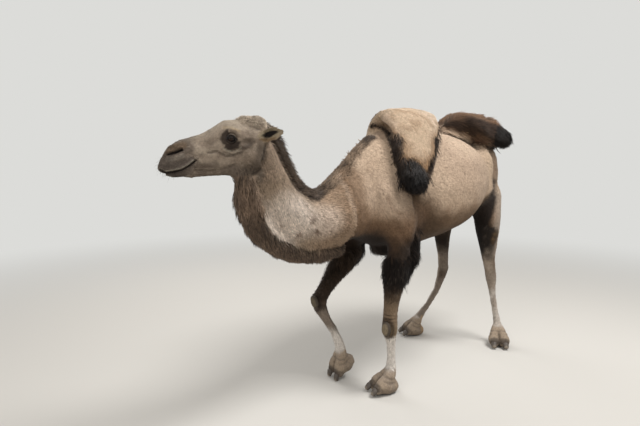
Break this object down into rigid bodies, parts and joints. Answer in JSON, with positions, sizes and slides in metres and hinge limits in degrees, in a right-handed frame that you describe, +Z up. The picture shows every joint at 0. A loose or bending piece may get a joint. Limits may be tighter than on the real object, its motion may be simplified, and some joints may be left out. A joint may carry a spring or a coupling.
{
  "type": "bactrian camel figure",
  "caption": "Life-size still model of a walking two-humped camel with a slack front hump folded over its left side.",
  "frame": {"origin": "on the floor, under the middle of the whole model's bounding box", "axes": "the camel faces -Y, its own left side is +X, +Z is up"},
  "size_m": [0.911, 3.0936, 1.9655],
  "materials": {
    "coat": "short dense sandy wool, grizzled brown",
    "head_coat": "very short grey-brown face hair",
    "pale_coat": "pale golden-beige wool",
    "leg_coat": "short hair, dark above the knee and pale below",
    "long_hair": "long dark-brown shaggy hair",
    "foot_skin": "tough grey-taupe skin with very short hair",
    "callus": "bare leathery callus",
    "nail": "dark horn with worn paler tips",
    "eye": "wet, almost black brown"
  },
  "bodies": {
    "root": {"chest_pad": "callus", "crown_tuft": "long_hair", "ear_left": "head_coat", "ear_right": "head_coat", "elbow_hair_left": "long_hair", "elbow_hair_right": "long_hair", "eye_left": "eye", "eye_right": "eye", "foot_fore_left": "foot_skin", "foot_fore_right": "foot_skin", "foot_hind_left": "foot_skin", "foot_hind_right": "foot_skin", "head": "head_coat", "hump_front": "pale_coat", "hump_front_fringe_fore": "long_hair", "hump_front_fringe_rear": "long_hair", "hump_front_tip": "long_hair", "hump_rear": "pale_coat", "hump_rear_crest": "long_hair", "hump_rear_tip": "long_hair", "knee_pad_left": "callus", "knee_pad_right": "callus", "leg_fore_left": "leg_coat", "leg_fore_right": "leg_coat", "leg_hind_left": "leg_coat", "leg_hind_right": "leg_coat", "nail_fore_left_inner": "nail", "nail_fore_left_outer": "nail", "nail_fore_right_inner": "nail", "nail_fore_right_outer": "nail", "nail_hind_left_inner": "nail", "nail_hind_left_outer": "nail", "nail_hind_right_inner": "nail", "nail_hind_right_outer": "nail", "nape_mane": "long_hair", "neck": "coat", "tail": "coat", "tail_tuft": "long_hair", "throat_mane": "long_hair", "trunk": "coat"}
  },
  "joints": []
}
